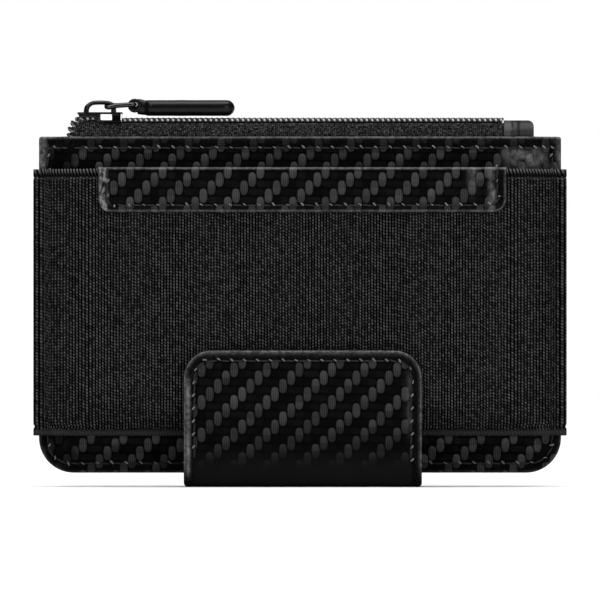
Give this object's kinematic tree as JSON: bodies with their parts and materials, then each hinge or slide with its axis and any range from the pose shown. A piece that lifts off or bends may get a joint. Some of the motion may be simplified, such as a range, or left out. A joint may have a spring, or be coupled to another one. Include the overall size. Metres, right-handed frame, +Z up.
{
  "type": "slim zip wallet",
  "caption": "Slim leather wallet with a zipped coin pouch, an elastic card pocket and a folded magnetic money clip.",
  "frame": {"origin": "centre of the overall box in X and Y, at the underside of the clip's fold in Z", "axes": "+X to the right seen from the front, -Y out of the front with the card pocket, +Z up to the zip"},
  "size_m": [0.1144, 0.0178, 0.0832],
  "materials": {
    "carbon_leather": "black leather embossed with a woven carbon pattern, semi-gloss",
    "smooth_leather": "smooth black leather, semi-gloss",
    "lining": "dark grey plain-woven lining",
    "thread": "black sewing thread",
    "zip_tape": "black woven zip tape",
    "zip_teeth": "black nylon teeth",
    "gunmetal": "dark polished metal",
    "elastic": "charcoal ribbed elastic webbing",
    "core_board": "stiff board",
    "magnet": "nickel-plated magnet"
  },
  "bodies": {
    "wallet": {"front_panel": "carbon_leather", "back_panel": "carbon_leather", "front_lining": "lining", "back_lining": "lining", "panel_stitching": "thread", "zip_tape_front": "zip_tape", "zip_tape_rear": "zip_tape", "zip_teeth_front": "zip_teeth", "zip_teeth_rear": "zip_teeth", "zip_end_tab": "smooth_leather", "tab_stitching": "thread", "elastic_band": "elastic", "band_stitching": "thread", "pocket_trim": "carbon_leather", "trim_stitching": "thread", "clip_strap": "carbon_leather", "clip_fold": "carbon_leather", "panel_magnets": "magnet", "strap_stitching": "thread"},
    "zip_slider": {"slider_body": "gunmetal", "slider_crown": "gunmetal"},
    "link": {"pull_link": "gunmetal"},
    "puller": {"leather_puller": "smooth_leather"},
    "clip": {"clip_leaf": "carbon_leather", "clip_leaf_lining": "smooth_leather", "clip_core": "core_board", "clip_magnets": "magnet", "clip_stitching": "thread"}
  },
  "joints": [
    {"name": "zip_slide", "type": "slide", "parent": "wallet", "child": "zip_slider", "axis": [1, 0, 0], "range_m": [0, 0.081], "deforming": ["zip_tape_front", "zip_tape_rear", "zip_teeth_front", "zip_teeth_rear"]},
    {"name": "link_swing", "type": "hinge", "parent": "zip_slider", "child": "link", "pos_m": [-0.0416, 0.0035, 0.0815], "axis": [0, -1, 0], "range_deg": [0, 90]},
    {"name": "puller_swing", "type": "hinge", "parent": "link", "child": "puller", "pos_m": [-0.03531, 0.0035, 0.0819], "axis": [0, -1, 0], "range_deg": [0, 90]},
    {"name": "clip_open", "type": "hinge", "parent": "wallet", "child": "clip", "pos_m": [0.0006, -0.0076, 0.0013], "axis": [1, 0, 0], "range_deg": [0, 90], "deforming": ["clip_fold"]}
  ]
}
